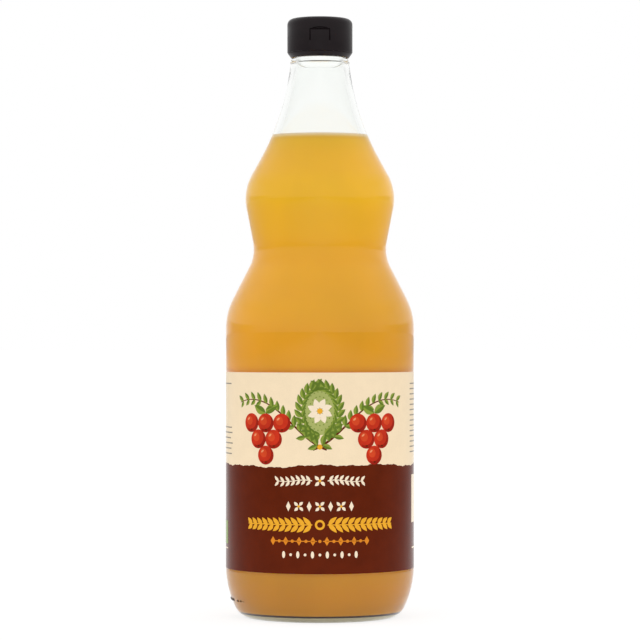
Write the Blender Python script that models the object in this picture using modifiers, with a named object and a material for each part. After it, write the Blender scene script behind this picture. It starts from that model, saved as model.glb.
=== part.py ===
# A one-litre clear glass vinegar bottle with a waist, its black plastic cap, wrap-around label and fill.
# Units are metres, +Z is up, and the origin is the middle of the foot. The front of the label faces -Y.

import math

import bmesh
import bpy

MM = 0.001

# Driving sizes
BODY_RADIUS = 44.4 * MM
WALL = 2.8 * MM
NECK_THINNING = 0.8 * MM  # how much less the wall is in the neck
FILL_LEVEL = 226.2 * MM
GAP = 0.3 * MM  # room kept between neighbouring pieces
SIDES = 48  # flat sides of each turned piece
ARC_ERROR = 0.13 * MM  # most that a chord may leave its arc

# Foot and pushed-up base
FOOT_RADIUS = 37.8 * MM
FOOT_ROUNDING = 8.0 * MM
BEARING_INNER_RADIUS = 29.8 * MM
BEARING_INNER_ROUNDING = 2.8 * MM
PUSH_UP_RADIUS = 24.5 * MM
PUSH_UP = 3.4 * MM
FLOOR_HEIGHT_AT_HEEL = 3.8 * MM
FLOOR_HEIGHT_AT_CENTRE = 7.4 * MM
FLOOR_RISE_RADIUS = 27.0 * MM
HOLLOW_HEEL_ROUNDING = 32.0 * MM
HOLLOW_CORNER_ROUNDING = 3.0 * MM

# Label and the shallow panel that holds it
LABEL_BOTTOM = 23.3 * MM
LABEL_TOP = 115.4 * MM
LABEL_THICKNESS = 0.3 * MM
LABEL_SEAM_WIDTH = 1.2 * MM
PANEL_MARGIN = 0.8 * MM
PANEL_DEPTH = LABEL_THICKNESS + GAP

# Mouth and the sloping bead under the cap
FINISH_RADIUS = 12.4 * MM
BORE_RADIUS = 10.4 * MM
MOUTH_TOP = 279.6 * MM
LIP_ROUNDING = 0.8 * MM
BORE_BOTTOM = 259.5 * MM
BORE_ROUNDING = 10.0 * MM
BORE_JOIN = 240.0 * MM  # height where the flare under the bore meets the neck's inside
BEAD_TOP_RADIUS = 13.25 * MM
BEAD_TOP = 263.25 * MM
BEAD_RADIUS = 14.05 * MM
BEAD_BOTTOM = 261.2 * MM
BEAD_ROUNDING = 0.25 * MM

# Cap
CAP_RADIUS = 15.4 * MM
CAP_TOP = 282.0 * MM
CAP_BOTTOM = 265.85 * MM
CAP_WALL = 1.5 * MM
CAP_EDGE_RADIUS = 2.8 * MM
RING_TOP = CAP_BOTTOM - GAP
RING_BOTTOM = 263.55 * MM
RING_TOP_RADIUS = 15.1 * MM
RING_BOTTOM_RADIUS = 13.6 * MM
RING_INNER_RADIUS = FINISH_RADIUS + 0.4 * MM

# The thumb mark cut into the front of the cap
MARK_HALF_WIDTH = 4.65 * MM
MARK_TOP = 275.9 * MM
MARK_BOTTOM = 270.6 * MM
MARK_BOW = 0.95 * MM
GROOVE_RADIUS = 0.35 * MM

# Outline of the glass from under the bead to the heel: (radius, height, corner rounding)
NECK_START = (13.85 * MM, 260.95 * MM, 0.3 * MM)
NECK = (16.77 * MM, 236.04 * MM, 119.5 * MM)
UPPER_BULGE = (36.38 * MM, 200.85 * MM, 23.5 * MM)
WAIST = (30.42 * MM, 170.45 * MM, 18.5 * MM)
SHOULDER = (BODY_RADIUS, 143.3 * MM, 31.0 * MM)
HEEL = (BODY_RADIUS, 14.5 * MM, 45.0 * MM)


def clear_scene():
    for old in list(bpy.data.objects):
        bpy.data.objects.remove(old, do_unlink=True)


def new_collection(name):
    collection = bpy.data.collections.new(name)
    bpy.context.scene.collection.children.link(collection)
    return collection


def principled(name, colour, roughness, transmission=0.0, ior=1.5):
    material = bpy.data.materials.new(name)
    material.use_nodes = True
    shader = material.node_tree.nodes["Principled BSDF"]
    shader.inputs["Base Color"].default_value = (*colour, 1.0)
    shader.inputs["Roughness"].default_value = roughness
    shader.inputs["Metallic"].default_value = 0.0
    shader.inputs["Transmission Weight"].default_value = transmission
    shader.inputs["IOR"].default_value = ior
    return material


def unit(dx, dz):
    length = math.hypot(dx, dz)
    return dx / length, dz / length


def rounded(corners):
    """Points along an outline of (radius, height, rounding) corners, each corner replaced by its arc."""
    points = [corners[0][:2]]
    for before, corner, after in zip(corners, corners[1:], corners[2:]):
        x, z, rounding = corner
        back = unit(before[0] - x, before[1] - z)
        on = unit(after[0] - x, after[1] - z)
        opening = math.acos(max(-1.0, min(1.0, back[0] * on[0] + back[1] * on[1])))
        turn = math.pi - opening
        if rounding == 0 or turn < math.radians(1):
            points.append((x, z))
            continue
        reach = rounding / math.tan(opening / 2)
        middle = unit(back[0] + on[0], back[1] + on[1])
        centre_distance = rounding / math.sin(opening / 2)
        centre = (x + middle[0] * centre_distance, z + middle[1] * centre_distance)
        arm = (x + back[0] * reach - centre[0], z + back[1] * reach - centre[1])
        side = 1.0 if back[0] * on[1] - back[1] * on[0] < 0 else -1.0
        finest = 2 * math.acos(1 - min(ARC_ERROR / rounding, 0.3))
        steps = max(1, math.ceil(turn / finest))
        for step in range(steps + 1):
            angle = side * turn * step / steps
            cosine, sine = math.cos(angle), math.sin(angle)
            points.append((
                centre[0] + arm[0] * cosine - arm[1] * sine,
                centre[1] + arm[0] * sine + arm[1] * cosine,
            ))
    points.append(corners[-1][:2])
    return points


def inset(corners, distance):
    """The same outline, which runs top to bottom, moved in towards the axis side by a distance."""
    moved = []
    for index, (x, z, rounding) in enumerate(corners):
        before = corners[max(index - 1, 0)]
        after = corners[min(index + 1, len(corners) - 1)]
        normals = []
        bend = 0.0
        if index > 0:
            dx, dz = unit(x - before[0], z - before[1])
            normals.append((dz, -dx))
        if index < len(corners) - 1:
            dx, dz = unit(after[0] - x, after[1] - z)
            normals.append((dz, -dx))
        if len(normals) == 2:
            first, second = normals
            bend = first[0] * second[1] - first[1] * second[0]
            share = distance / (1 + first[0] * second[0] + first[1] * second[1])
            shift = ((first[0] + second[0]) * share, (first[1] + second[1]) * share)
        else:
            shift = (normals[0][0] * distance, normals[0][1] * distance)
        grown = rounding + distance if bend > 0 else rounding - distance
        moved.append((x + shift[0], z + shift[1], max(grown, 0.0)))
    return moved


def turned(name, outline, collection, material):
    """A piece turned round the Z axis from its outline in the XZ plane."""
    mesh = bpy.data.meshes.new(name)
    vertices = [(x, 0.0, z) for x, z in outline]
    edges = [(i, i + 1) for i in range(len(outline) - 1)]
    if outline[0][0] > 0:
        edges.append((len(outline) - 1, 0))
    mesh.from_pydata(vertices, edges, [])
    piece = bpy.data.objects.new(name, mesh)
    collection.objects.link(piece)
    screw = piece.modifiers.new("Turn", "SCREW")
    screw.steps = SIDES
    screw.render_steps = SIDES
    screw.use_merge_vertices = True
    screw.merge_threshold = 0.00001
    screw.use_smooth_shade = True
    mesh.materials.append(material)
    return piece


def radius_at(outline, height):
    """Radius of an outline that runs top to bottom, at a height that it crosses once."""
    for (x0, z0), (x1, z1) in zip(outline, outline[1:]):
        if z0 >= height > z1:
            return x0 + (x1 - x0) * (z0 - height) / (z0 - z1)
    return outline[-1][0]


def body_corners():
    """Corners of the glass from under the bead down to the foot, without the label panel."""
    return [NECK_START, NECK, UPPER_BULGE, WAIST, SHOULDER, HEEL, (FOOT_RADIUS, 0.0, FOOT_ROUNDING)]


def outside_outline():
    mouth = [
        (BORE_RADIUS, MOUTH_TOP - 2 * LIP_ROUNDING, 0.0),
        (BORE_RADIUS, MOUTH_TOP, LIP_ROUNDING),
        (FINISH_RADIUS, MOUTH_TOP, LIP_ROUNDING),
        (FINISH_RADIUS, BEAD_TOP, BEAD_ROUNDING),
        (BEAD_TOP_RADIUS, BEAD_TOP, BEAD_ROUNDING),
        (BEAD_RADIUS, BEAD_BOTTOM, BEAD_ROUNDING),
    ]
    base = [
        (BEARING_INNER_RADIUS, 0.0, BEARING_INNER_ROUNDING),
        (PUSH_UP_RADIUS, PUSH_UP - 0.6 * MM, 12.0 * MM),
        (0.0, PUSH_UP, 0.0),
    ]
    plain = rounded(mouth + body_corners() + base)
    # The label panel is a shallow step into the cylinder, with sloped ends.
    panel_radius = BODY_RADIUS - PANEL_DEPTH
    top = LABEL_TOP + PANEL_MARGIN
    bottom = LABEL_BOTTOM - PANEL_MARGIN
    upper_end = top + PANEL_DEPTH
    lower_end = bottom - PANEL_DEPTH
    above = [point for point in plain if point[1] > upper_end]
    below = [point for point in plain if point[1] < lower_end]
    panel = [
        (BODY_RADIUS, upper_end),
        (panel_radius, top),
        (panel_radius, bottom),
        (radius_at(plain, lower_end), lower_end),
    ]
    return above + panel + below


def hollow_corners():
    """Corners of the hollow under the bore, from the neck down to the middle of the floor."""
    neck_start, neck, *side, heel, foot = inset(body_corners(), WALL)
    thin_neck = [(x + NECK_THINNING, z, rounding) for x, z, rounding in (neck_start, neck)]
    # The heel's line is followed down to the height of the floor there.
    slope = (heel[0] - foot[0]) / (heel[1] - foot[1])
    floor_radius = heel[0] - slope * (heel[1] - FLOOR_HEIGHT_AT_HEEL)
    floor = [
        (heel[0], heel[1], HOLLOW_HEEL_ROUNDING),
        (floor_radius, FLOOR_HEIGHT_AT_HEEL, HOLLOW_CORNER_ROUNDING),
        (FLOOR_RISE_RADIUS, FLOOR_HEIGHT_AT_HEEL + 1.4 * MM, 20.0 * MM),
        (0.0, FLOOR_HEIGHT_AT_CENTRE, 0.0),
    ]
    return thin_neck + side + floor


def hollow_outline():
    """The whole hollow: a straight bore that flares into the neck."""
    side = rounded(hollow_corners())
    bore = rounded([
        (BORE_RADIUS, MOUTH_TOP, 0.0),
        (BORE_RADIUS, BORE_BOTTOM, BORE_ROUNDING),
        (radius_at(side, BORE_JOIN), BORE_JOIN, 0.0),
    ])
    return bore + [point for point in side if point[1] < BORE_JOIN]


def make_glass(collection):
    """One shell: from the middle of the floor up the hollow, over the lip, down the outside to the axis."""
    below_lip = hollow_outline()[1:]
    outline = below_lip[::-1] + outside_outline()
    glass = principled("clear_glass", (0.95, 0.97, 0.95), 0.02, transmission=1.0, ior=1.52)
    return turned("glass_bottle", outline, collection, glass)


def make_vinegar(collection):
    """The drink up to its level, a gap clear of the glass."""
    side = rounded(inset(hollow_corners(), GAP))
    wetted = [point for point in side if point[1] < FILL_LEVEL]
    wetted[-1] = (0.0, wetted[-1][1])
    surface = [(0.0, FILL_LEVEL), (radius_at(side, FILL_LEVEL), FILL_LEVEL)]
    amber = principled("cloudy_vinegar", (0.74, 0.36, 0.03), 0.15)
    return turned("vinegar", surface + wetted, collection, amber)


def make_label(collection):
    """A paper strip round the body, with its seam at the back."""
    outer = BODY_RADIUS
    inner = BODY_RADIUS - LABEL_THICKNESS
    half_seam = LABEL_SEAM_WIDTH / 2 / outer
    back = math.pi / 2
    step = 2 * math.pi / SIDES
    angles = [back + half_seam]
    angles += [back + step * i for i in range(1, SIDES)]
    angles.append(back + 2 * math.pi - half_seam)
    curve = bpy.data.curves.new("label_outline", "CURVE")
    curve.dimensions = "2D"
    curve.fill_mode = "BOTH"
    curve.extrude = (LABEL_TOP - LABEL_BOTTOM) / 2
    spline = curve.splines.new("POLY")
    ring = [(outer, a) for a in angles] + [(inner, a) for a in reversed(angles)]
    spline.points.add(len(ring) - 1)
    for point, (radius, angle) in zip(spline.points, ring):
        point.co = (radius * math.cos(angle), radius * math.sin(angle), 0.0, 1.0)
    spline.use_cyclic_u = True
    strip = bpy.data.objects.new("label", curve)
    strip.location.z = (LABEL_TOP + LABEL_BOTTOM) / 2
    collection.objects.link(strip)
    curve.materials.append(principled("printed_paper", (0.35, 0.16, 0.08), 0.45))
    return strip


def mark_tube(name, path, cutters):
    """A closed tube along points on the cap's side, used to cut a round-bottomed groove."""
    curve = bpy.data.curves.new(name + "_path", "CURVE")
    curve.dimensions = "3D"
    curve.bevel_depth = GROOVE_RADIUS
    curve.bevel_resolution = 1
    curve.use_fill_caps = True
    spline = curve.splines.new("POLY")
    spline.points.add(len(path) - 1)
    for point, (along, z) in zip(spline.points, path):
        angle = along / CAP_RADIUS
        point.co = (CAP_RADIUS * math.sin(angle), -CAP_RADIUS * math.cos(angle), z, 1.0)
    guide = bpy.data.objects.new(name + "_guide", curve)
    cutters.objects.link(guide)
    graph = bpy.context.evaluated_depsgraph_get()
    mesh = bpy.data.meshes.new_from_object(guide.evaluated_get(graph))
    bpy.data.objects.remove(guide, do_unlink=True)
    work = bmesh.new()
    work.from_mesh(mesh)
    bmesh.ops.remove_doubles(work, verts=work.verts, dist=0.00001)
    bmesh.ops.recalc_face_normals(work, faces=work.faces)
    work.to_mesh(mesh)
    work.free()
    tube = bpy.data.objects.new(name, mesh)
    tube.hide_render = True
    tube.display_type = "WIRE"
    cutters.objects.link(tube)
    return tube


def make_cap(collection, cutters):
    edge = 0.3 * MM
    outline = rounded([
        (0.0, CAP_TOP, 0.0),
        (CAP_RADIUS, CAP_TOP, CAP_EDGE_RADIUS),
        (CAP_RADIUS, CAP_BOTTOM, edge),
        (CAP_RADIUS - CAP_WALL, CAP_BOTTOM, edge),
        (CAP_RADIUS - CAP_WALL, CAP_TOP - CAP_WALL, CAP_WALL),
        (0.0, CAP_TOP - CAP_WALL, 0.0),
    ])
    black = principled("black_plastic", (0.02, 0.015, 0.016), 0.4)
    cap = turned("cap", outline, collection, black)
    steps = 8
    across = [MARK_HALF_WIDTH * (2 * i / steps - 1) for i in range(steps + 1)]
    frame_path = [(across[0], MARK_BOTTOM), *((a, MARK_TOP) for a in across), (across[-1], MARK_BOTTOM)]
    bow_path = [(a, MARK_TOP + MARK_BOW * math.cos(a / MARK_HALF_WIDTH * math.pi / 2)) for a in across[1:-1]]
    for name, path in (("mark_frame", frame_path), ("mark_bow", bow_path)):
        cut = cap.modifiers.new(name, "BOOLEAN")
        cut.operation = "DIFFERENCE"
        cut.object = mark_tube(name, path, cutters)
    return cap


def make_ring(collection):
    """The collar that tapers from the cap to the bead."""
    edge = 0.3 * MM
    outline = rounded([
        (RING_INNER_RADIUS + GAP, RING_TOP, 0.0),
        (RING_TOP_RADIUS, RING_TOP, edge),
        (RING_BOTTOM_RADIUS, RING_BOTTOM, edge),
        (RING_INNER_RADIUS, RING_BOTTOM, 0.0),
        (RING_INNER_RADIUS, RING_TOP - GAP, 0.0),
    ])
    black = principled("black_collar", (0.02, 0.015, 0.016), 0.4)
    return turned("cap_ring", outline, collection, black)


def main():
    clear_scene()
    parts = new_collection("vinegar_bottle")
    cutters = new_collection("cutters")
    make_glass(parts)
    make_vinegar(parts)
    make_label(parts)
    make_cap(parts, cutters)
    make_ring(parts)


main()
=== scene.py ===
import math
import random

import bmesh
import bpy
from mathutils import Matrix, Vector


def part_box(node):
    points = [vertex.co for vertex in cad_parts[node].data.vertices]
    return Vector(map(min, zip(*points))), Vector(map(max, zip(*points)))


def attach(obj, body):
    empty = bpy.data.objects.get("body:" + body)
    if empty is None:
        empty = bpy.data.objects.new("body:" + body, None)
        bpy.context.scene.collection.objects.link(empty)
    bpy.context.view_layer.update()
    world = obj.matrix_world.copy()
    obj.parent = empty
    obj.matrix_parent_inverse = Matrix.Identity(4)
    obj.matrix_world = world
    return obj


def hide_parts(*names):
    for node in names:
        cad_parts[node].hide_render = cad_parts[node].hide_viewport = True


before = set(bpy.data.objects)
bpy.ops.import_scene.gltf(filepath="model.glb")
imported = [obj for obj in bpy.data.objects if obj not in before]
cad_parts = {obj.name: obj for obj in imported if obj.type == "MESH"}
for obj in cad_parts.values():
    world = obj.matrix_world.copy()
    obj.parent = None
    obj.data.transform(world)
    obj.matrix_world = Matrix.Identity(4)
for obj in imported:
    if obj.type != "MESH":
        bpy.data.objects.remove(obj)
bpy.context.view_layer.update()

MM = 0.001

# Sizes that the frame gives
BODY_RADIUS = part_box("glass_bottle")[1].x
MOUTH_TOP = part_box("glass_bottle")[1].z
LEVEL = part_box("vinegar")[1].z
LABEL_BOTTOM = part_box("label")[0].z
LABEL_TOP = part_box("label")[1].z
CAP_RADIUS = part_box("cap")[1].x
CAP_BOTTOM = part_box("cap")[0].z
CAP_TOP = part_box("cap")[1].z
RING_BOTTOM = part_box("cap_ring")[0].z

# Rounding and shading
TURN_STEPS = 180
FINE_ERROR = 0.012 * MM  # how far a rounded outline may stand off its arc
COARSEST_SAG = 0.04  # the same for a tiny arc, as a share of its radius
STRAIGHT_ENOUGH = math.radians(0.5)
SHARP_EDGE = math.radians(50)

# Glass
WALL = 2.8 * MM
NECK_THINNING = 0.8 * MM  # how much less the wall is in the neck
FINISH_RADIUS = 12.4 * MM
BORE_RADIUS = 11.2 * MM
BORE_BOTTOM = 259.6 * MM
BORE_ROUNDING = 14.0 * MM
BORE_JOIN = 240.0 * MM
BEAD_TOP_RADIUS = 13.25 * MM
BEAD_TOP = 263.25 * MM
BEAD_RADIUS = 14.05 * MM
BEAD_BOTTOM = 261.2 * MM
BEAD_ROUNDING = 0.2 * MM
LIP_ROUNDING = 0.8 * MM
FOOT_RADIUS = 37.8 * MM
FOOT_ROUNDING = 8.0 * MM
BEARING_INNER_RADIUS = 29.8 * MM
BEARING_INNER_ROUNDING = 2.8 * MM
PUSH_UP_RADIUS = 24.5 * MM
PUSH_UP = 3.4 * MM
PUSH_UP_SAG = 0.6 * MM
PUSH_UP_ROUNDING = 12.0 * MM
PANEL_SPARE_DEPTH = 0.05 * MM
PANEL_MARGIN = 0.4 * MM
FLOOR_HEIGHT_AT_HEEL = 2.7 * MM
FLOOR_HEIGHT_AT_CENTRE = 7.4 * MM
FLOOR_RISE_RADIUS = 27.0 * MM
HOLLOW_HEEL_ROUNDING = 32.0 * MM
HOLLOW_CORNER_ROUNDING = 2.4 * MM
HOLLOW_CORNER_WIDENING = 1.2 * MM
FLOOR_RISE = 1.4 * MM  # from the corner in to FLOOR_RISE_RADIUS
FLOOR_RISE_ROUNDING = 20.0 * MM
BODY_CORNERS = (
    (13.85 * MM, 260.95 * MM, 0.2 * MM),
    (16.77 * MM, 236.04 * MM, 119.5 * MM),
    (36.38 * MM, 200.85 * MM, 23.5 * MM),
    (30.42 * MM, 170.45 * MM, 18.5 * MM),
    (BODY_RADIUS, 143.3 * MM, 31.0 * MM),
    (BODY_RADIUS, 14.5 * MM, 45.0 * MM),
    (FOOT_RADIUS, 0.0, FOOT_ROUNDING),
)

# Raised marks on the heel: degrees round from the front, length, width, how proud they stand
HEEL_MARK_HEIGHT = 8.7 * MM
HEEL_LEAN = -0.35  # how far the marks look down, for one part outwards
HEEL_LIMIT = 20.0 * MM  # the heel lies under this height
HEEL_MARKS = (
    *((turn, 3.0 * MM, 1.5 * MM, 0.55 * MM) for turn in (-93, -90, -87, -84, -81, -78)),
    (-75.5, 2.2 * MM, 1.1 * MM, 0.40 * MM),
    (-66.5, 1.3 * MM, 1.2 * MM, 0.42 * MM),
    (-62.0, 1.2 * MM, 1.1 * MM, 0.36 * MM),
    (-58.5, 0.7 * MM, 0.6 * MM, 0.20 * MM),
)

# Vinegar
WALL_BITE = 0.15 * MM  # how far the drink reaches into the glass
MENISCUS_LOW = -0.3 * MM
MENISCUS_HIGH = 0.4 * MM
MENISCUS_WIDTH = 1.8 * MM
MENISCUS_STEPS = 8
MENISCUS_POWER = 2.5

# The drink's faces by the Z of their normals: level top, underside, and the rim round the underside; the
# underside gets painted light and the rim a painted shadow line
TOP_FACES = 0.9
FOOT_LIGHT_FACES = -0.93
SHADOW_RIM_FACES = -0.66
SIDE_SLOT, SHADOW_RIM_SLOT, FOOT_LIGHT_SLOT, TOP_SLOT = range(4)

# Cap, with a thumb mark cut in as a frame and a bow over it
CAP_WALL = 1.5 * MM
CAP_EDGE_ROUNDING = 2.8 * MM
CAP_INNER_ROUNDING = 1.0 * MM
CAP_RIM_ROUNDING = 0.3 * MM
MARK_HALF_WIDTH = 4.65 * MM
MARK_TOP = 275.9 * MM
MARK_BOTTOM = 270.6 * MM
MARK_BOW = 0.8 * MM
MARK_BOW_POWER = 0.6
MARK_STEPS = 16
FRAME_GROOVE = 0.38 * MM
BOW_GROOVE = 0.26 * MM
GROOVE_INSET = 0.12 * MM  # how far the grooves' middle lies inside the cap's side

# Collar
COLLAR_TOP_RADIUS = 15.25 * MM
COLLAR_BOTTOM_RADIUS = 13.6 * MM
COLLAR_CLEARANCE = 0.4 * MM
COLLAR_GAP = 0.02 * MM
COLLAR_CHAMFER = 0.3 * MM
COLLAR_TOP_ROUNDING = 0.2 * MM
COLLAR_BOTTOM_ROUNDING = 0.3 * MM

# Label
PAPER = 0.11 * MM
INK_STEP = 0.015 * MM
LABEL_RADIUS = BODY_RADIUS
LABEL_HALF_LENGTH = math.pi * LABEL_RADIUS
SEAM_LAP = 5.0 * MM
LAP_RUN_UP = 6.0 * MM  # over which the lapped end climbs
LAP_LIFT = 1.15 * PAPER
PAPER_COLUMNS = 540
PAPER_EDGE = math.radians(40)
GROUND_HEIGHT = 72.6 * MM  # middle of the uneven line between the brown and the cream field
PRINT_SLICE = 1.2 * MM  # width of the strips in which print bends round the bottle
PRINT_ROOT = -0.03 * MM  # where a print film starts, just under the paper's face

# Camera, from the photograph
PHOTO_SIZE = 640
MM_PER_PIXEL = 0.4725 * MM
AXIS_PIXEL_X = 319.9
EYE_PIXEL_Y = 342.0
FOOT_PIXEL_Y = 615.8
CAMERA_DISTANCE = 2852 * MM_PER_PIXEL
SENSOR = 36.0
CLIP_START = 0.05
CLIP_END = 200.0

# Light round the horizon: (direction's Y, from the near side at -1 to the backdrop at 1; brightness)
SIDE_LIGHT = 0.92
WING_LIGHT = 0.50
ROUND_HORIZON = (
    (-1.0, 1.0),
    (-0.3, SIDE_LIGHT),
    (0.3, WING_LIGHT),
    (0.65, WING_LIGHT),
    (0.88, 0.85),
    (0.97, 1.0),
)
# Light by height: (direction's Z; how far the light has turned from the horizon's to TOP_LIGHT)
# The first rise to 0.95 is a white band, which the neck mirrors.
TOP_LIGHT = 1.0
OVERHEAD = ((0.05, 0.0), (0.09, 0.95), (0.26, 0.95), (0.36, 0.7), (0.6, 1.0))
BOUNCES = 32
DIFFUSE_BOUNCES = 16
GLOSSY_BOUNCES = 16
TRANSMISSION_BOUNCES = 24

# Floor, in metres
FLOOR_HALF = 40.0
FLOOR_GLOW = 0.8
# A painted shadow in the floor's glow under the foot:
PAINTED_FOOT_SHADOW = (0.031, 0.036, 0.35)  # radii between which the foot's shade ends, and the glow's share in it
WING_FADE = (0.2, 0.9, 0.45)  # distances aside between which the glow fades, and the share left
WING_SLANT = -0.15  # added to the distance aside for each metre behind the bottle, so the fade starts later
NEAR_FADE = (-0.30, -0.13, 0.8)  # Y between which the glow rises to its full strength, and its share before


# Shapes


def unit(dx, dz):
    length = math.hypot(dx, dz)
    return dx / length, dz / length


def rounded(corners):
    """Points along an outline of (radius, height, rounding) corners, each corner replaced by its arc."""
    points = [corners[0][:2]]
    for before, corner, after in zip(corners, corners[1:], corners[2:]):
        x, z, rounding = corner
        back = unit(before[0] - x, before[1] - z)
        on = unit(after[0] - x, after[1] - z)
        opening = math.acos(max(-1.0, min(1.0, back[0] * on[0] + back[1] * on[1])))
        turn = math.pi - opening
        if rounding == 0 or turn < STRAIGHT_ENOUGH:
            points.append((x, z))
            continue
        reach = rounding / math.tan(opening / 2)
        middle = unit(back[0] + on[0], back[1] + on[1])
        centre_distance = rounding / math.sin(opening / 2)
        centre = (x + middle[0] * centre_distance, z + middle[1] * centre_distance)
        arm = (x + back[0] * reach - centre[0], z + back[1] * reach - centre[1])
        side = 1.0 if back[0] * on[1] - back[1] * on[0] < 0 else -1.0
        finest = 2 * math.acos(1 - min(FINE_ERROR / rounding, COARSEST_SAG))
        steps = max(2, math.ceil(turn / finest))
        for step in range(steps + 1):
            angle = side * turn * step / steps
            cosine, sine = math.cos(angle), math.sin(angle)
            points.append((
                centre[0] + arm[0] * cosine - arm[1] * sine,
                centre[1] + arm[0] * sine + arm[1] * cosine,
            ))
    points.append(corners[-1][:2])
    return points


def inset(corners, distance):
    """The same outline, which runs top to bottom, moved in by a distance, or out by a negative one."""
    moved = []
    for index, (x, z, rounding) in enumerate(corners):
        before = corners[max(index - 1, 0)]
        after = corners[min(index + 1, len(corners) - 1)]
        normals = []
        bend = 0.0
        if index > 0:
            dx, dz = unit(x - before[0], z - before[1])
            normals.append((dz, -dx))
        if index < len(corners) - 1:
            dx, dz = unit(after[0] - x, after[1] - z)
            normals.append((dz, -dx))
        if len(normals) == 2:
            first, second = normals
            bend = first[0] * second[1] - first[1] * second[0]
            share = distance / (1 + first[0] * second[0] + first[1] * second[1])
            shift = ((first[0] + second[0]) * share, (first[1] + second[1]) * share)
        else:
            shift = (normals[0][0] * distance, normals[0][1] * distance)
        grown = rounding + distance if bend > 0 else rounding - distance
        moved.append((x + shift[0], z + shift[1], max(grown, 0.0)))
    return moved


def radius_at(outline, height):
    """Radius of an outline that runs top to bottom, at a height that it crosses once."""
    for (x0, z0), (x1, z1) in zip(outline, outline[1:]):
        if z0 >= height > z1:
            return x0 + (x1 - x0) * (z0 - height) / (z0 - z1)
    return outline[-1][0]


def new_object(name, mesh, *materials):
    piece = bpy.data.objects.new(name, mesh)
    bpy.context.scene.collection.objects.link(piece)
    for material in materials:
        mesh.materials.append(material)
    return piece


def apply_modifiers(piece):
    """Make the object's modifiers part of its mesh."""
    graph = bpy.context.evaluated_depsgraph_get()
    mesh = bpy.data.meshes.new_from_object(piece.evaluated_get(graph))
    old = piece.data
    piece.modifiers.clear()
    piece.data = mesh
    mesh.name = piece.name
    bpy.data.meshes.remove(old)


def smooth_with_edges(mesh, edge_angle=SHARP_EDGE):
    mesh.shade_smooth()
    mesh.set_sharp_from_angle(angle=edge_angle)


def turned(name, outline, material):
    """A piece turned round the Z axis from its outline in the XZ plane."""
    mesh = bpy.data.meshes.new(name)
    vertices = [(x, 0.0, z) for x, z in outline]
    edges = [(i, i + 1) for i in range(len(outline) - 1)]
    if outline[0][0] > 0:
        edges.append((len(outline) - 1, 0))
    mesh.from_pydata(vertices, edges, [])
    piece = new_object(name, mesh, material)
    screw = piece.modifiers.new("Turn", "SCREW")
    screw.steps = TURN_STEPS
    screw.render_steps = TURN_STEPS
    screw.use_merge_vertices = True
    screw.merge_threshold = 0.000001
    apply_modifiers(piece)
    smooth_with_edges(piece.data)
    return piece


def cut(piece, tool):
    """Take the tool's shape out of the piece; the cut's faces keep the tool's material."""
    change = piece.modifiers.new("Cut", "BOOLEAN")
    change.operation = "DIFFERENCE"
    change.material_mode = "TRANSFER"
    change.object = tool
    apply_modifiers(piece)
    bpy.data.objects.remove(tool, do_unlink=True)
    smooth_with_edges(piece.data)


# Materials

NOISE_ROUGHNESS = 0.55
# A mix node's colour sockets by number, because their names repeat
MIX_FACTOR, MIX_FIRST, MIX_SECOND, MIX_RESULT = 0, 6, 7, 2


class Surface:
    """A material with a Principled shader and the procedural nodes that feed it."""

    def __init__(self, name, **values):
        self.material = bpy.data.materials.new(name)
        self.material.use_nodes = True
        self.tree = self.material.node_tree
        self.shader = self.tree.nodes["Principled BSDF"]
        for socket, value in values.items():
            self.shader.inputs[socket.replace("_", " ")].default_value = value
        self.place = self.add("ShaderNodeTexCoord").outputs["Object"]

    def add(self, kind, links=None, **values):
        made = self.tree.nodes.new(kind)
        for name, value in values.items():
            setattr(made, name, value)
        for socket, source in (links or {}).items():
            if isinstance(source, bpy.types.NodeSocket):
                self.tree.links.new(source, made.inputs[socket])
            else:
                made.inputs[socket].default_value = source
        return made

    def noise(self, scale, detail=3.0, stretch=None):
        place = self.place
        if stretch:
            place = self.add("ShaderNodeMapping", {"Vector": place, "Scale": stretch}).outputs["Vector"]
        made = self.add("ShaderNodeTexNoise", {
            "Vector": place, "Scale": scale, "Detail": detail, "Roughness": NOISE_ROUGHNESS,
        })
        return made.outputs["Fac"]

    def ramp(self, factor, stops):
        made = self.add("ShaderNodeValToRGB", {"Fac": factor})
        elements = made.color_ramp.elements
        while len(elements) < len(stops):
            elements.new(0.5)
        for element, (position, colour) in zip(elements, stops):
            element.position = position
            element.color = (*colour, 1.0)
        return made.outputs["Color"]

    def remap(self, value, low, high, to_low=0.0, to_high=1.0):
        made = self.add("ShaderNodeMapRange", {
            "Value": value, "From Min": low, "From Max": high, "To Min": to_low, "To Max": to_high,
        })
        return made.outputs["Result"]

    def height(self):
        made = self.add("ShaderNodeSeparateXYZ", {"Vector": self.place})
        return made.outputs["Z"]

    def mixed(self, factor, first, second, blend="MIX"):
        made = self.add("ShaderNodeMix", data_type="RGBA", blend_type=blend)
        for index, source in ((MIX_FACTOR, factor), (MIX_FIRST, first), (MIX_SECOND, second)):
            if isinstance(source, bpy.types.NodeSocket):
                self.tree.links.new(source, made.inputs[index])
            else:
                made.inputs[index].default_value = source if index == MIX_FACTOR else (*source, 1.0)
        return made.outputs[MIX_RESULT]

    def colour(self, source):
        self.tree.links.new(source, self.shader.inputs["Base Color"])

    def roughness(self, source):
        self.tree.links.new(source, self.shader.inputs["Roughness"])

    def bump(self, height, distance, strength=1.0):
        made = self.add("ShaderNodeBump", {"Height": height, "Distance": distance, "Strength": strength})
        self.tree.links.new(made.outputs["Normal"], self.shader.inputs["Normal"])


def linear(red, green, blue):
    """A colour given as 0-255 screen values, in the linear values that shaders take."""
    return tuple(
        ((value / 255 + 0.055) / 1.055) ** 2.4 if value > 10 else value / 255 / 12.92
        for value in (red, green, blue)
    )


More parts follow.
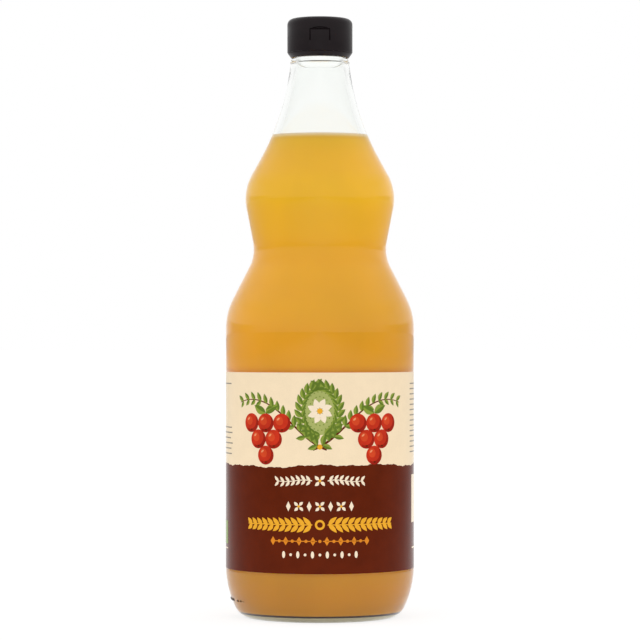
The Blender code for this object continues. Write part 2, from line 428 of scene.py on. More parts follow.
def clear_glass():
    s = Surface("clear_glass", Transmission_Weight=1.0, IOR=1.5)
    tint = s.noise(18.0, detail=2.0)
    s.colour(s.ramp(tint, [(0.3, (0.985, 0.995, 0.985)), (0.7, (0.975, 0.99, 0.97))]))
    s.roughness(s.remap(s.noise(60.0), 0.3, 0.7, 0.0, 0.012))
    wave = s.noise(30.0, detail=1.0, stretch=(1.0, 1.0, 0.45))
    s.bump(wave, 0.00035, 0.25)
    return s.material


def painted_shade_glass():
    """Painted shade: the raised heel marks bend the light away and so look dark, and their opaque dark brown
    paints that in.
    """
    s = Surface("painted_shade_glass", Specular_IOR_Level=0.15)
    shade = s.noise(900.0)
    s.colour(s.ramp(shade, [(0.3, (0.030, 0.013, 0.004)), (0.7, (0.070, 0.032, 0.009))]))
    s.roughness(s.remap(shade, 0.3, 0.7, 0.10, 0.20))
    return s.material


def cloudy_vinegar():
    """Amber from the foot up, with painted shade by height: darker towards the foot and lighter towards the
    neck, a painted shadow line just under the level, and painted light where the meniscus climbs the glass.
    """
    s = Surface("cloudy_vinegar", Roughness=0.6, Specular_IOR_Level=0.0)
    height = s.height()
    level = s.remap(height, 0.0, LEVEL + MENISCUS_HIGH)
    # Painted shade and light by height: the stop at 0.990 is the painted shadow line, the stops above it the
    # meniscus's painted light.
    depth = s.ramp(level, [
        (0.000, (0.560, 0.255, 0.001)),
        (0.038, (0.670, 0.318, 0.001)),
        (0.090, (0.750, 0.372, 0.001)),
        (0.500, (0.915, 0.510, 0.001)),
        (0.524, (0.940, 0.540, 0.001)),
        (0.594, (0.900, 0.533, 0.001)),
        (0.655, (0.908, 0.566, 0.001)),
        (0.780, (0.960, 0.635, 0.001)),
        (0.860, (0.968, 0.658, 0.001)),
        (0.984, (0.972, 0.662, 0.002)),
        (0.990, (0.925, 0.600, 0.006)),
        (0.9925, (0.940, 0.640, 0.080)),
        (0.9955, (0.975, 0.820, 0.400)),
        (1.000, (0.990, 0.940, 0.820)),
    ])
    cloud = s.noise(22.0, detail=4.0, stretch=(1.0, 1.0, 0.6))
    drift = s.ramp(cloud, [(0.3, (0.93, 0.93, 0.93)), (0.7, (1.05, 1.05, 1.05))])
    s.colour(s.mixed(1.0, depth, drift, "MULTIPLY"))
    return s.material


def drink_surface():
    """The level top of the drink, inside its paler meniscus."""
    s = Surface("drink_surface", Roughness=0.2, Specular_IOR_Level=0.3)
    cloud = s.noise(40.0, detail=4.0)
    s.colour(s.ramp(cloud, [(0.3, (0.84, 0.52, 0.020)), (0.7, (0.93, 0.61, 0.035))]))
    return s.material


def black_plastic(name="black_plastic", sheen=0.22):
    s = Surface(name, Specular_IOR_Level=sheen)
    grain = s.noise(2600.0, detail=2.0)
    flow = s.noise(90.0, detail=3.0, stretch=(1.0, 1.0, 2.5))
    s.colour(s.ramp(flow, [(0.3, (0.0050, 0.0016, 0.0026)), (0.7, (0.0082, 0.0034, 0.0048))]))
    s.roughness(s.remap(flow, 0.3, 0.7, 0.30, 0.40))
    s.bump(grain, 0.00002, 0.5)
    return s.material


FIELD_CREAM = linear(251, 229, 194)
FIELD_BROWN = (0.115, 0.0125, 0.0006)
DARK_BROWN = (0.122, 0.0135, 0.0006)


def printed_paper(name, ink, mottle):
    """Coated label paper in one ink: faint print mottle, fine paper grain and a thin sheen at its edges."""
    s = Surface(name, Specular_IOR_Level=0.08, Sheen_Weight=0.45, Sheen_Roughness=0.14)
    blotch = s.noise(140.0, detail=4.0)
    fine = s.noise(2400.0, detail=2.0)
    dark = tuple(c * (1 - mottle) for c in ink)
    light = tuple(min(1.0, c * (1 + mottle)) for c in ink)
    base = s.ramp(blotch, [(0.3, dark), (0.7, light)])
    speck = s.ramp(fine, [(0.3, (0.97, 0.97, 0.97)), (0.7, (1.02, 1.02, 1.02))])
    s.colour(s.mixed(1.0, base, speck, "MULTIPLY"))
    s.roughness(s.remap(blotch, 0.3, 0.7, 0.17, 0.22))
    s.bump(fine, 0.00001, 0.6)
    return s.material


def painted_shadow_rim():
    """Painted shadow: the thin dark line where the drink ends above the clear foot, standing in for the shade
    under the bottle.
    """
    s = Surface("painted_shadow_rim", Roughness=0.6, Specular_IOR_Level=0.0)
    s.colour(s.ramp(s.noise(60.0), [(0.3, (0.022, 0.007, 0.000)), (0.7, (0.040, 0.013, 0.001))]))
    return s.material


def painted_foot_light():
    """Painted light: the underside of the drink, coloured pale grey-green as it reads through the thick foot,
    for the floor's light that comes through the foot and mirrors in it.
    """
    s = Surface("painted_foot_light", Roughness=0.6, Specular_IOR_Level=0.0)
    cloud = s.noise(45.0, detail=4.0)
    s.colour(s.ramp(cloud, [(0.3, (0.50, 0.44, 0.27)), (0.7, (0.62, 0.56, 0.38))]))
    return s.material


def pale_floor():
    """A white light table, so that the shadow at the foot stays faint; under the foot its glow is dimmed as a
    painted shadow.
    """
    s = Surface("pale_floor", Roughness=0.9, Specular_IOR_Level=0.0, Emission_Strength=FLOOR_GLOW)
    fleck = s.noise(6.0, detail=5.0)
    s.colour(s.ramp(fleck, [(0.3, (0.24, 0.24, 0.24)), (0.7, (0.26, 0.26, 0.26))]))
    away = s.add("ShaderNodeVectorMath", {0: s.place}, operation="LENGTH").outputs["Value"]
    # Painted shadow: under the foot the glow drops to a share of its strength.
    shade_end, glow_start, shade_share = PAINTED_FOOT_SHADOW
    under = s.remap(away, shade_end, glow_start, shade_share, 1.0)
    # The glow fades away to the sides, as the studio's wings do.
    split = s.add("ShaderNodeSeparateXYZ", {"Vector": s.place})
    aside = s.add("ShaderNodeMath", {0: split.outputs["X"]}, operation="ABSOLUTE").outputs["Value"]
    behind = s.add("ShaderNodeMath", {0: split.outputs["Y"], 1: 0.0}, operation="MAXIMUM").outputs["Value"]
    slanted = {0: behind, 1: WING_SLANT, 2: aside}
    wedge = s.add("ShaderNodeMath", slanted, operation="MULTIPLY_ADD").outputs["Value"]
    fade_start, fade_end, wing_share = WING_FADE
    fade = s.remap(wedge, fade_start, fade_end, FLOOR_GLOW, wing_share * FLOOR_GLOW)
    near_start, near_end, near_share = NEAR_FADE
    near = s.remap(split.outputs["Y"], near_start, near_end, near_share, 1.0)
    inner = s.add("ShaderNodeMath", {0: under, 1: near}, operation="MULTIPLY").outputs["Value"]
    glow = s.add("ShaderNodeMath", {0: inner, 1: fade}, operation="MULTIPLY").outputs["Value"]
    s.shader.inputs["Emission Color"].default_value = (1.0, 1.0, 1.0, 1.0)
    s.tree.links.new(glow, s.shader.inputs["Emission Strength"])
    return s.material


# Camera, light and floor


def make_camera():
    """Level with the photograph's eye height, turned up a touch so that the horizon lands at its pixel."""
    eye_height = (FOOT_PIXEL_Y - EYE_PIXEL_Y) * MM_PER_PIXEL
    data = bpy.data.cameras.new("photo_camera")
    data.sensor_width = SENSOR
    data.lens = CAMERA_DISTANCE / (PHOTO_SIZE * MM_PER_PIXEL) * SENSOR
    data.clip_start = CLIP_START
    data.clip_end = CLIP_END
    camera = bpy.data.objects.new("photo_camera", data)
    bpy.context.scene.collection.objects.link(camera)
    aside = (PHOTO_SIZE / 2 - AXIS_PIXEL_X) * MM_PER_PIXEL
    camera.location = (aside, -CAMERA_DISTANCE, eye_height)
    pitch = math.atan((EYE_PIXEL_Y - PHOTO_SIZE / 2) * MM_PER_PIXEL / CAMERA_DISTANCE)
    camera.rotation_euler = (math.pi / 2 + pitch, 0.0, 0.0)
    bpy.context.scene.camera = camera


def make_light():
    """A white studio: a bright near side and backdrop with darker wings between, and a light ceiling."""
    scene = bpy.context.scene
    scene.view_settings.view_transform = "Standard"
    scene.view_settings.look = "None"
    scene.cycles.blur_glossy = 0.0
    scene.cycles.max_bounces = BOUNCES
    scene.cycles.diffuse_bounces = DIFFUSE_BOUNCES
    scene.cycles.glossy_bounces = GLOSSY_BOUNCES
    scene.cycles.transmission_bounces = TRANSMISSION_BOUNCES
    world = bpy.data.worlds.new("white_studio")
    scene.world = world
    world.use_nodes = True
    nodes = world.node_tree.nodes
    links = world.node_tree.links
    background = nodes["Background"]
    background.inputs["Color"].default_value = (1.0, 1.0, 1.0, 1.0)
    direction = nodes.new("ShaderNodeTexCoord")
    split = nodes.new("ShaderNodeSeparateXYZ")
    links.new(direction.outputs["Generated"], split.inputs["Vector"])

    def ramp(socket, stops, low, high):
        span = nodes.new("ShaderNodeMapRange")
        span.inputs["From Min"].default_value = low
        span.inputs["From Max"].default_value = high
        links.new(split.outputs[socket], span.inputs["Value"])
        made = nodes.new("ShaderNodeValToRGB")
        made.color_ramp.interpolation = "EASE"
        elements = made.color_ramp.elements
        while len(elements) < len(stops):
            elements.new(0.5)
        for element, (at, value) in zip(elements, stops):
            element.position = (at - low) / (high - low)
            element.color = (value, value, value, 1.0)
        links.new(span.outputs["Result"], made.inputs["Fac"])
        return made.outputs["Color"]

    round_horizon = ramp("Y", ROUND_HORIZON, -1, 1)
    overhead = ramp("Z", OVERHEAD, 0, 1)
    mix = nodes.new("ShaderNodeMix")
    mix.data_type = "RGBA"
    links.new(overhead, mix.inputs[MIX_FACTOR])
    links.new(round_horizon, mix.inputs[MIX_FIRST])
    mix.inputs[MIX_SECOND].default_value = (TOP_LIGHT, TOP_LIGHT, TOP_LIGHT, 1.0)
    strength = nodes.new("ShaderNodeRGBToBW")
    links.new(mix.outputs[MIX_RESULT], strength.inputs["Color"])
    links.new(strength.outputs["Val"], background.inputs["Strength"])


def make_floor():
    half = FLOOR_HALF
    corners = [(-half, -half, 0), (half, -half, 0), (half, half, 0), (-half, half, 0)]
    mesh = bpy.data.meshes.new("floor")
    mesh.from_pydata(corners, [], [(0, 1, 2, 3)])
    floor = new_object("floor", mesh, pale_floor())


# The bottle


def hollow_corners():
    """Corners of the hollow under the bore, from the neck down to the middle of the floor."""
    neck_start, neck, *side, heel, foot = inset(BODY_CORNERS, WALL)
    thin_neck = [(x + NECK_THINNING, z, rounding) for x, z, rounding in (neck_start, neck)]
    slope = (heel[0] - foot[0]) / (heel[1] - foot[1])
    floor_radius = heel[0] - slope * (heel[1] - FLOOR_HEIGHT_AT_HEEL) + HOLLOW_CORNER_WIDENING
    floor = [
        (heel[0], heel[1], HOLLOW_HEEL_ROUNDING),
        (floor_radius, FLOOR_HEIGHT_AT_HEEL, HOLLOW_CORNER_ROUNDING),
        (FLOOR_RISE_RADIUS, FLOOR_HEIGHT_AT_HEEL + FLOOR_RISE, FLOOR_RISE_ROUNDING),
        (0.0, FLOOR_HEIGHT_AT_CENTRE, 0.0),
    ]
    return thin_neck + side + floor


def hollow_outline():
    """The whole hollow: a straight bore that flares into the neck."""
    side = rounded(hollow_corners())
    bore = rounded([
        (BORE_RADIUS, MOUTH_TOP, 0.0),
        (BORE_RADIUS, BORE_BOTTOM, BORE_ROUNDING),
        (radius_at(side, BORE_JOIN), BORE_JOIN, 0.0),
    ])
    return bore + [point for point in side if point[1] < BORE_JOIN]


def outside_outline():
    """The glass's outside, from the lip down the side and in under the foot."""
    mouth = [
        (BORE_RADIUS, MOUTH_TOP - 2 * LIP_ROUNDING, 0.0),
        (BORE_RADIUS, MOUTH_TOP, LIP_ROUNDING),
        (FINISH_RADIUS, MOUTH_TOP, LIP_ROUNDING),
        (FINISH_RADIUS, BEAD_TOP, BEAD_ROUNDING),
        (BEAD_TOP_RADIUS, BEAD_TOP, BEAD_ROUNDING),
        (BEAD_RADIUS, BEAD_BOTTOM, BEAD_ROUNDING),
    ]
    base = [
        (BEARING_INNER_RADIUS, 0.0, BEARING_INNER_ROUNDING),
        (PUSH_UP_RADIUS, PUSH_UP - PUSH_UP_SAG, PUSH_UP_ROUNDING),
        (0.0, PUSH_UP, 0.0),
    ]
    plain = rounded([*mouth, *BODY_CORNERS, *base])
    # A panel as deep as the paper keeps the label flush with the glass.
    depth = PAPER + PANEL_SPARE_DEPTH
    top = LABEL_TOP + PANEL_MARGIN
    bottom = LABEL_BOTTOM - PANEL_MARGIN
    upper_end = top + 3 * depth
    lower_end = bottom - 3 * depth
    above = [point for point in plain if point[1] > upper_end]
    below = [point for point in plain if point[1] < lower_end]
    panel = [
        (BODY_RADIUS, upper_end),
        (BODY_RADIUS - depth, top),
        (BODY_RADIUS - depth, bottom),
        (radius_at(plain, lower_end), lower_end),
    ]
    return above + panel + below


def make_heel_marks():
    """A short row of raised mould marks at the left of the heel, fading to the right."""
    side = outside_outline()
    work = bmesh.new()
    radius = radius_at([point for point in side if point[1] < HEEL_LIMIT], HEEL_MARK_HEIGHT)
    for turn, length, width, proud in HEEL_MARKS:
        made = bmesh.ops.create_uvsphere(work, u_segments=20, v_segments=12, radius=1.0)
        angle = math.radians(turn)
        out = Vector((math.sin(angle), -math.cos(angle), HEEL_LEAN)).normalized()
        along = Vector((math.cos(angle), math.sin(angle), 0.0))
        up = out.cross(along)
        middle = Vector((radius * math.sin(angle), -radius * math.cos(angle), HEEL_MARK_HEIGHT))
        for vertex in made["verts"]:
            x, y, up_share = vertex.co
            vertex.co = middle + along * x * length / 2 + out * y * proud + up * up_share * width / 2
    bmesh.ops.recalc_face_normals(work, faces=work.faces)
    mesh = bpy.data.meshes.new("heel_marks")
    work.to_mesh(mesh)
    work.free()
    # The marks' dark brown is painted shade for the light that they bend away.
    marks = new_object("heel_marks", mesh, painted_shade_glass())
    mesh.shade_smooth()
    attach(marks, "root")


def make_glass():
    below_lip = hollow_outline()[1:]
    outline = below_lip[::-1] + outside_outline()
    glass = turned("glass_shell", outline, clear_glass())
    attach(glass, "root")
    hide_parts("glass_bottle")


def make_vinegar():
    """The drink up to its level, reaching just into the wall, with a meniscus climbing the glass."""
    side = rounded(inset(hollow_corners(), -WALL_BITE))
    low = LEVEL + MENISCUS_LOW
    top = LEVEL + MENISCUS_HIGH
    wetted = [point for point in side if point[1] < top]
    wetted[-1] = (0.0, wetted[-1][1])
    rim = radius_at(side, top)
    surface = [(0.0, low)]
    for step in range(MENISCUS_STEPS + 1):
        along = step / MENISCUS_STEPS
        surface.append((rim - MENISCUS_WIDTH * (1 - along), low + (top - low) * along**MENISCUS_POWER))
    fill = turned("vinegar_fill", surface + wetted, cloudy_vinegar())
    for material in (painted_shadow_rim(), painted_foot_light(), drink_surface()):
        fill.data.materials.append(material)
    # Underside faces get painted light and the rim round them a painted shadow line.
    for face in fill.data.polygons:
        if face.normal.z > TOP_FACES:
            face.material_index = TOP_SLOT
        elif face.normal.z < FOOT_LIGHT_FACES:
            face.material_index = FOOT_LIGHT_SLOT
        elif face.normal.z < SHADOW_RIM_FACES:
            face.material_index = SHADOW_RIM_SLOT
        else:
            face.material_index = SIDE_SLOT
    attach(fill, "root")
    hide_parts("vinegar")


def groove_tube(path, radius, material):
    """A closed tube along (distance round, height) points on the cap's side."""
    curve = bpy.data.curves.new("groove", "CURVE")
    curve.dimensions = "3D"
    curve.bevel_depth = radius
    curve.bevel_resolution = 3
    curve.use_fill_caps = True
    spline = curve.splines.new("POLY")
    spline.points.add(len(path) - 1)
    for point, (along, z) in zip(spline.points, path):
        angle = along / CAP_RADIUS
        reach = CAP_RADIUS - GROOVE_INSET
        point.co = (reach * math.sin(angle), -reach * math.cos(angle), z, 1.0)
    guide = bpy.data.objects.new("groove_guide", curve)
    bpy.context.scene.collection.objects.link(guide)
    graph = bpy.context.evaluated_depsgraph_get()
    mesh = bpy.data.meshes.new_from_object(guide.evaluated_get(graph))
    bpy.data.objects.remove(guide, do_unlink=True)
    work = bmesh.new()
    work.from_mesh(mesh)
    bmesh.ops.remove_doubles(work, verts=work.verts, dist=0.000005)
    bmesh.ops.recalc_face_normals(work, faces=work.faces)
    work.to_mesh(mesh)
    work.free()
    mesh.materials.append(material)
    tube = bpy.data.objects.new("groove_tube", mesh)
    bpy.context.scene.collection.objects.link(tube)
    return tube


def make_cap():
    outline = rounded([
        (0.0, CAP_TOP, 0.0),
        (CAP_RADIUS, CAP_TOP, CAP_EDGE_ROUNDING),
        (CAP_RADIUS, CAP_BOTTOM, CAP_RIM_ROUNDING),
        (CAP_RADIUS - CAP_WALL, CAP_BOTTOM, CAP_RIM_ROUNDING),
        (CAP_RADIUS - CAP_WALL, CAP_TOP - CAP_WALL, CAP_INNER_ROUNDING),
        (0.0, CAP_TOP - CAP_WALL, 0.0),
    ])
    cap = turned("cap_shell", outline, black_plastic())
    across = [MARK_HALF_WIDTH * (2 * i / MARK_STEPS - 1) for i in range(MARK_STEPS + 1)]
    frame_path = [(across[0], MARK_BOTTOM), *((a, MARK_TOP) for a in across), (across[-1], MARK_BOTTOM)]
    bow_path = [
        (a, MARK_TOP + MARK_BOW * math.cos(a / MARK_HALF_WIDTH * math.pi / 2) ** MARK_BOW_POWER)
        for a in across[2:-2]
    ]
    # The grooves get a less shiny copy of the cap's plastic: painted shade in the recesses.
    groove_shade = black_plastic("groove_shade_plastic", sheen=0.10)
    cut(cap, groove_tube(frame_path, FRAME_GROOVE, groove_shade))
    cut(cap, groove_tube(bow_path, BOW_GROOVE, groove_shade))
    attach(cap, "root")
    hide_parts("cap")


def make_collar():
    inner = FINISH_RADIUS + COLLAR_CLEARANCE
    top = CAP_BOTTOM - COLLAR_GAP
    outline = rounded([
        (inner + COLLAR_CHAMFER, top, 0.0),
        (COLLAR_TOP_RADIUS, top, COLLAR_TOP_ROUNDING),
        (COLLAR_BOTTOM_RADIUS, RING_BOTTOM, COLLAR_BOTTOM_ROUNDING),
        (inner, RING_BOTTOM, 0.0),
        (inner, top - COLLAR_CHAMFER, 0.0),
    ])
    collar = turned("cap_collar", outline, black_plastic("black_collar"))
    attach(collar, "root")
    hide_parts("cap_ring")


# The label


def on_label(along, z, lift=0.0):
    """A point of the label: distance round from the middle of the front, height, and lift off the paper."""
    angle = along / LABEL_RADIUS
    radius = LABEL_RADIUS + lift
    return Vector((radius * math.sin(angle), -radius * math.cos(angle), z))


def ground_edge(along):
    """Height of the uneven line between the two fields of the label."""
    turn = along / LABEL_RADIUS
    wave = 0.55 * math.sin(3 * turn + 0.6) + 0.35 * math.sin(8 * turn + 2.1)
    ripple = 0.22 * math.sin(23 * turn + 0.4) + 0.14 * math.sin(57 * turn + 1.2) + 0.08 * math.sin(131 * turn)
    return GROUND_HEIGHT + (wave + ripple) * MM


def make_paper():
    """The strip of paper, its two fields in two inks, with one end lapped over the other at the back."""
    cream = printed_paper("cream_field", FIELD_CREAM, mottle=0.02)
    brown = printed_paper("brown_field", FIELD_BROWN, mottle=0.10)
    work = bmesh.new()
    start = -LABEL_HALF_LENGTH
    length = 2 * LABEL_HALF_LENGTH + SEAM_LAP
    rings = []
    for column in range(PAPER_COLUMNS + 1):
        along = start + length * column / PAPER_COLUMNS
        past = max(0.0, along - (LABEL_HALF_LENGTH - LAP_RUN_UP)) / LAP_RUN_UP
        lift = min(1.0, past) * LAP_LIFT
        edge = ground_edge(along)
        heights = (LABEL_BOTTOM, (LABEL_BOTTOM + edge) / 2, edge, (edge + LABEL_TOP) / 2, LABEL_TOP)
        outer = [work.verts.new(on_label(along, z, lift)) for z in heights]
        inner = [work.verts.new(on_label(along, z, lift - PAPER)) for z in heights]
        rings.append((outer, inner))
    rows = len(heights) - 1
    brown_rows = 2  # those under the uneven line
    for (outer, inner), (next_outer, next_inner) in zip(rings, rings[1:]):
        for row in range(rows):
            face = work.faces.new((outer[row], next_outer[row], next_outer[row + 1], outer[row + 1]))
            face.material_index = 1 if row < brown_rows else 0
            work.faces.new((inner[row], inner[row + 1], next_inner[row + 1], next_inner[row]))
        work.faces.new((outer[0], inner[0], next_inner[0], next_outer[0]))
        work.faces.new((outer[rows], next_outer[rows], next_inner[rows], inner[rows]))
    for outer, inner in (rings[0], rings[-1][::-1]):
        for row in range(rows):
            work.faces.new((outer[row], outer[row + 1], inner[row + 1], inner[row]))
    bmesh.ops.recalc_face_normals(work, faces=work.faces)
    mesh = bpy.data.meshes.new("paper_label")
    work.to_mesh(mesh)
    work.free()
    paper = new_object("paper_label", mesh, cream, brown)
    smooth_with_edges(mesh, PAPER_EDGE)
    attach(paper, "root")
    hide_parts("label")


def print_shapes(name, shapes, ink, layer):
    """One ink's shapes, each a list of (distance round, height) points, laid on the paper as a thin film."""
    work = bmesh.new()
    for shape in shapes:
        corners = [work.verts.new((along, z, 0.0)) for along, z in shape]
        work.faces.new(corners)
    low = min(along for shape in shapes for along, _ in shape)
    high = max(along for shape in shapes for along, _ in shape)
    for index in range(1, int((high - low) / PRINT_SLICE) + 1):
        geometry = list(work.verts) + list(work.edges) + list(work.faces)
        bmesh.ops.bisect_plane(
            work, geom=geometry, plane_co=(low + index * PRINT_SLICE, 0, 0), plane_no=(1, 0, 0), dist=1e-8,
        )
    bmesh.ops.triangulate(work, faces=work.faces)
    bmesh.ops.recalc_face_normals(work, faces=work.faces)
    lift = layer * INK_STEP
    for face in work.faces:
        if face.normal.z < 0:
            face.normal_flip()
    film = bmesh.ops.extrude_face_region(work, geom=list(work.faces), use_keep_orig=True)
    raised = {item for item in film["geom"] if isinstance(item, bmesh.types.BMVert)}
    for vertex in work.verts:
        along, z, _ = vertex.co
        vertex.co = on_label(along, z, lift if vertex in raised else PRINT_ROOT)
    bmesh.ops.recalc_face_normals(work, faces=work.faces)
    mesh = bpy.data.meshes.new(name)
    work.to_mesh(mesh)
    work.free()
    piece = new_object(name, mesh, ink)
    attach(piece, "root")


def placed(x, z, cx, cz, turn):
    """The point (x, z) turned about the origin and then moved to (cx, cz)."""
    return cx + x * math.cos(turn) - z * math.sin(turn), cz + x * math.sin(turn) + z * math.cos(turn)


def ellipse(cx, cz, width, height, turn=0.0, points=32):
    shape = []
    for i in range(points):
        angle = 2 * math.pi * i / points
        x = width / 2 * math.cos(angle)
        z = height / 2 * math.sin(angle)
        shape.append(placed(x, z, cx, cz, turn))
    return shape


def lozenge(cx, cz, width, height):
    return [(cx + width / 2, cz), (cx, cz + height / 2), (cx - width / 2, cz), (cx, cz - height / 2)]


def bar(cx, cz, width, height):
    x, z = width / 2, height / 2
    return [(cx - x, cz - z), (cx + x, cz - z), (cx + x, cz + z), (cx - x, cz + z)]


def leaf(cx, cz, length, width, turn, half=0):
    """A pointed leaf from its stalk end; half is 0 for the whole, 1 or -1 for one side of its rib."""
    points = 12
    upper = []
    lower = []
    for i in range(points + 1):
        t = i / points
        spread = width / 2 * math.sin(math.pi * t**0.85) ** 0.9
        droop = 0.10 * width * math.sin(math.pi * t)
        upper.append((length * t, droop + spread))
        lower.append((length * t, droop - spread))
    middle = [(x, (a + b) / 2) for (x, a), (_, b) in zip(upper, lower)]
    if half > 0:
        outline = upper + middle[-2:0:-1]
    elif half < 0:
        outline = middle + lower[-2:0:-1]
    else:
        outline = upper + lower[-2:0:-1]
    return [placed(x, z, cx, cz, turn) for x, z in outline]


def stroke(points, width, end_width=None):
    """A band along points, even or tapering."""
    left = []
    right = []
    last = len(points) - 1
    for index, (x, z) in enumerate(points):
        before = points[max(index - 1, 0)]
        after = points[min(index + 1, last)]
        dx, dz = unit(after[0] - before[0], after[1] - before[1])
        half = width / 2
        if end_width is not None:
            half += (end_width - width) / 2 * index / last
        left.append((x - dz * half, z + dx * half))
        right.append((x + dz * half, z - dx * half))
    return left + right[::-1]


def bezier(start, pull_a, pull_b, end, steps=20):
    """Points along a cubic curve between two ends, drawn towards two pulls."""
    corners = (start, pull_a, pull_b, end)
    curve = []
    for i in range(steps + 1):
        t = i / steps
        shares = ((1 - t) ** 3, 3 * t * (1 - t) ** 2, 3 * t * t * (1 - t), t**3)
        curve.append(tuple(sum(k * p[axis] for k, p in zip(shares, corners)) for axis in (0, 1)))
    return curve


class Artwork:
    """The shapes of each ink, drawn in mm: distance round from the middle of the front, and height."""

    def __init__(self, inks):
        self.shapes = {name: [] for name in inks}

    def add(self, ink, shape):
        self.shapes[ink].append([(x * MM, z * MM) for x, z in shape])

    def leaf(self, x, z, length, width, turn):
        """A leaf in two tones, one on each side of its rib."""
        self.add("green", leaf(x, z, length, width, turn, 1))
        self.add("deep", leaf(x, z, length, width, turn, -1))

    def berry(self, x, z, size):
        """A round berry with a shaded side, a lit side, a glint and a stalk scar."""
        self.add("red", ellipse(x, z, size, size))
        sweep = [math.radians(a) for a in range(-118, 33, 10)]
        outer, inner = 0.50 * size, 0.43 * size
        inner_x, inner_z = x - 0.07 * size, z + 0.10 * size
        shade = [(x + outer * math.cos(a), z + outer * math.sin(a)) for a in sweep]
        back = [(inner_x + inner * math.cos(a), inner_z + inner * math.sin(a)) for a in sweep]
        self.add("shade", shade + back[::-1])
        self.add("warm", ellipse(x - 0.14 * size, z + 0.12 * size, 0.44 * size, 0.50 * size, 0.5, 20))
        self.add("glint", ellipse(x - 0.20 * size, z + 0.21 * size, 0.20 * size, 0.10 * size, 0.7, 14))
        self.add("stem", ellipse(x + 0.02 * size, z - 0.36 * size, 0.13 * size, 0.09 * size, 0.0, 10))

    def flower(self, x, z, size, petals):
        """A pale flower with a gold heart."""
        start = 0.10 * size
        for i in range(petals):
            angle = 2 * math.pi * (i + 0.5) / petals
            foot = (x + start * math.cos(angle), z + start * math.sin(angle))
            self.add("pale", leaf(*foot, 0.42 * size, 0.25 * size, angle))
        self.add("gold", ellipse(x, z, 0.22 * size, 0.22 * size, 0.0, 16))


def heading(before, point):
    return math.atan2(point[1] - before[1], point[0] - before[0])


def draw_wreath(art):
    """An oval wreath of leaves with a flower in it."""
    middle = 97.8
    wide, tall = 8.4, 11.0
    leaves = 24
    art.add("meadow", ellipse(0, middle, 2 * wide, 2 * tall, 0.0, 48))
    for ring in (0.80, 0.60):
        dots = round(30 * ring)
        for i in range(dots):
            angle = 2 * math.pi * (i + 0.5) / dots
            x, z = ring * wide * math.cos(angle), middle + ring * tall * math.sin(angle)
            art.add("deep", ellipse(x, z, 0.55, 0.55, 0.0, 8))
    for i in range(leaves):
        angle = 2 * math.pi * i / leaves
        x, z = wide * math.cos(angle), middle + tall * math.sin(angle)
        side = 1 if math.cos(angle) > 0 else -1
        along = math.atan2(side * tall * math.cos(angle), -side * wide * math.sin(angle))
        art.leaf(x, z, 5.2, 2.5, along - side * math.radians(34))
        art.leaf(x, z, 4.0, 1.9, along + side * math.radians(30))
    art.flower(0, middle, 11.5, 8)


def draw_boughs(art):
    """A bough each side, which starts under the wreath and carries a bunch of berries."""
    bunch = 26.5
    size = 8.7
    spacing = 0.98
    bunch_rows = ((77.4, 1), (84.8, 2), (92.2, 3))
    steps = 30
    hang_step = 19
    for side in (-1, 1):
        bough = bezier((side * -3.2, 80.2), (side * 12, 85), (side * 20, 109), (side * 43, 101.5), steps)
        art.add("bough", stroke(bough, 1.15, 0.35))
        for i in range(3, steps + 1, 2):
            x, z = bough[i]
            along = heading(bough[i - 1], bough[i])
            small = 1.0 - 0.010 * i
            art.leaf(x, z, 6.0 * small, 2.8 * small, along + side * math.radians(46))
            if i % 4 == 3 or i > 24:
                art.leaf(x, z, 5.0 * small, 2.4 * small, along - side * math.radians(50))
        stalk = bezier(bough[hang_step], (side * 26.4, 99), (side * 26.6, 96), (side * bunch, 92))
        art.add("bough", stroke(stalk, 0.7))
        for z, count in bunch_rows:
            for i in range(count):
                art.berry(side * bunch + (i - (count - 1) / 2) * size * spacing, z, size)
        for lean in (side, -side):
            art.leaf(side * bunch, 96.8, 7.4, 3.8, math.radians(90 + lean * 62))
    art.add("gold", ellipse(0, 81.4, 2.4, 2.4, 0.0, 16))


def draw_bands(art):
    """Five bands of small ornaments on the lower field."""
    vine_band, flower_band, ear_band, bead_band, dot_band = 65.9, 54.2, 45.8, 38.3, 32.1
    art.flower(0, vine_band, 6.2, 4)
    for side in (-1, 1):
        start, end = (side * 3.6, vine_band), (side * 20.5, vine_band)
        vine = bezier(start, (side * 9, 67.4), (side * 14, 64.4), end)
        art.add("pale", stroke(vine, 0.5, 0.3))
        for x, z in vine[1:20:3]:
            for lean in (-1, 1):
                art.add("pale", leaf(x, z, 3.0, 1.25, math.radians(90 - side * 90 + side * lean * 50)))
    for i in range(-3, 4):
        if i % 2:
            art.add("pale", lozenge(i * 4.9, flower_band, 2.2, 4.6))
        else:
            art.flower(i * 4.9, flower_band, 5.6, 4)
    art.add("gold", ellipse(0, ear_band, 4.6, 4.6, 0.0, 28))
    art.add("stem", ellipse(0, ear_band, 2.6, 2.6, 0.0, 20))
    for side in (-1, 1):
        art.add("gold", bar(side * 20.2, ear_band, 33.4, 0.5))
        for i in range(11):
            for lean in (-1, 1):
                turn = math.radians(90 - side * 90 + side * lean * 44)
                art.add("gold", leaf(side * (4.0 + 3.05 * i), ear_band, 5.2 - 0.14 * i, 2.0, turn))
    for i in range(-7, 8):
        if i % 2:
            art.add("orange", lozenge(i * 3.2, bead_band, 2.5, 4.0))
        else:
            art.add("orange", ellipse(i * 3.2, bead_band, 1.5, 1.5, 0.0, 16))
    for side in (-1, 1):
        art.add("orange", bar(side * 11.6, bead_band, 20.4, 0.4))
    for i in range(-5, 6):
        if i % 2:
            art.add("pale", ellipse(i * 3.4, dot_band, 1.5, 3.2, 0.0, 16))
        else:
            art.add("pale", ellipse(i * 3.4, dot_band, 1.3, 1.3, 0.0, 12))


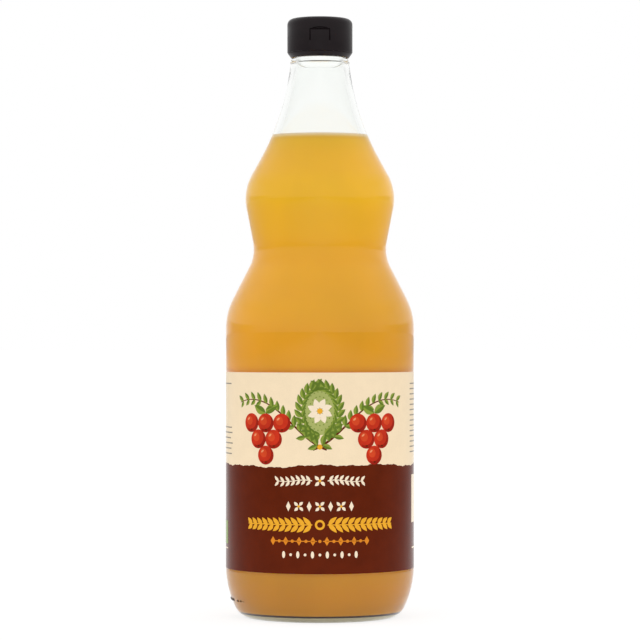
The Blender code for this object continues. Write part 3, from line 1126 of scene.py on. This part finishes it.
def draw_side_columns(art):
    """Columns of plain rules at both sides, with plain blocks under them."""
    random.seed(7)
    spacing = 2.45
    thickness = 0.55
    for x0, x1, z_top, rows in ((-85, -51, 89.6, 6), (55, 90, 110.0, 14)):
        for row in range(rows):
            short = random.uniform(0.0, 4.0)
            low = x0 + (0.0 if x0 > 0 else 0.4 * short)
            high = x1 - short
            art.add("grey", bar((low + high) / 2, z_top - row * spacing, high - low, thickness))
    art.add("grey", bar(-62, 110.0, 18, thickness))
    art.add("pale", bar(70.8, 56.2, 26.2, 22.4))
    art.add("pale", bar(71.2, 33.2, 25.4, 0.7))
    art.add("block", bar(-71.3, 40.4, 25.4, 10.8))
    art.add("pale", bar(-71.3, 33.0, 25.4, 0.5))


def draw_back(art):
    """The same leaves, smaller, either side of the seam, over a short band of ornaments."""
    for centre in (-112, 112):
        twig = bezier((centre - 12, 90), (centre - 5, 97), (centre + 4, 99), (centre + 13, 94))
        art.add("stem", stroke(twig, 0.8, 0.3))
        for i in range(2, 20, 2):
            x, z = twig[i]
            along = heading(twig[i - 1], twig[i])
            art.leaf(x, z, 5.2, 2.4, along + math.radians(48))
            art.leaf(x, z, 5.2, 2.4, along - math.radians(48))
        art.add("gold", bar(centre, 64.0, 24, 0.6))
        art.add("gold", bar(centre, 34.0, 24, 0.6))
        for i in range(-2, 3):
            art.add("pale", lozenge(centre + i * 5, 49.0, 2.6, 4.2))


def make_print():
    """A plain botanical design: a wreath, two hanging bunches of berries, and bands of ornaments."""
    inks = {
        "bough": printed_paper("bough_ink", DARK_BROWN, mottle=0.10),
        "stem": printed_paper("stem_ink", DARK_BROWN, mottle=0.10),
        "meadow": printed_paper("meadow_ink", linear(172, 180, 104), mottle=0.05),
        "green": printed_paper("green_ink", linear(140, 158, 62), mottle=0.06),
        "deep": printed_paper("deep_green_ink", linear(100, 124, 42), mottle=0.06),
        "red": printed_paper("red_ink", linear(198, 50, 26), mottle=0.16),
        "shade": printed_paper("red_shade_ink", linear(158, 32, 16), mottle=0.14),
        "warm": printed_paper("warm_red_ink", linear(214, 72, 36), mottle=0.10),
        "glint": printed_paper("glint_ink", linear(240, 150, 104), mottle=0.05),
        "pale": printed_paper("pale_ink", linear(252, 234, 206), mottle=0.03),
        "gold": printed_paper("gold_ink", linear(242, 174, 46), mottle=0.04),
        "orange": printed_paper("orange_ink", linear(228, 138, 36), mottle=0.04),
        "block": printed_paper("block_ink", linear(122, 148, 44), mottle=0.05),
        "grey": printed_paper("grey_ink", linear(150, 142, 128), mottle=0.03),
    }
    art = Artwork(inks)
    draw_wreath(art)
    draw_boughs(art)
    draw_bands(art)
    draw_side_columns(art)
    draw_back(art)
    # Inks by the layer that they lie in, from the paper up
    layers = (
        ("meadow", "bough"), ("green",), ("deep",), ("red", "block", "grey"), ("shade", "pale"), ("warm",),
        ("glint", "gold", "orange"), ("stem",),
    )
    for layer, together in enumerate(layers, 1):
        for ink in together:
            print_shapes("print_" + ink, art.shapes[ink], inks[ink], layer)


make_camera()
make_light()
make_floor()
make_glass()
make_heel_marks()
make_vinegar()
make_cap()
make_collar()
make_paper()
make_print()
